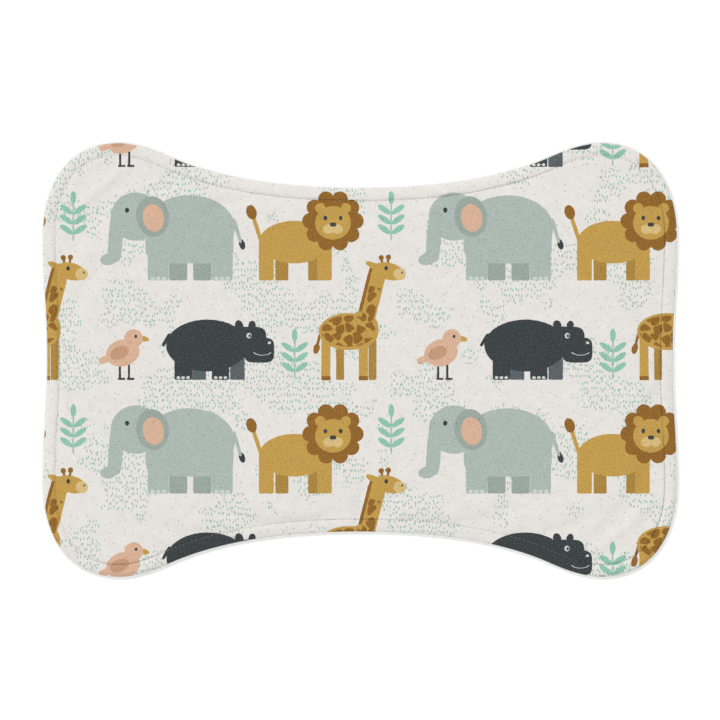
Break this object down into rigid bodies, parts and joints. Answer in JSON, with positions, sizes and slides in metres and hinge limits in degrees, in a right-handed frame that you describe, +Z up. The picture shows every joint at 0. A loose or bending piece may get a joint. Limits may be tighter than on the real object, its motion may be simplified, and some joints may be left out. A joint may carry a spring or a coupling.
{
  "type": "contoured burp cloth",
  "caption": "Hourglass-shaped padded cloth that lies over a shoulder or lap, with a printed woven face, a brushed backing and a topstitched edge.",
  "frame": {"origin": "middle of the cloth's underside, on the surface that it lies on", "axes": "+X along the long way of the cloth, +Y across it, +Z up out of the printed face"},
  "size_m": [0.45, 0.309, 0.0051],
  "materials": {
    "printed_cotton": "matte",
    "brushed_fleece": "matte",
    "cotton_batting": "matte",
    "sewing_thread": "satin"
  },
  "bodies": {
    "root": {"face_panel": "printed_cotton", "back_panel": "brushed_fleece", "absorbent_core": "cotton_batting", "rim_seam_thread": "sewing_thread", "topstitch_needle_thread": "sewing_thread", "topstitch_bobbin_thread": "sewing_thread"}
  },
  "joints": []
}
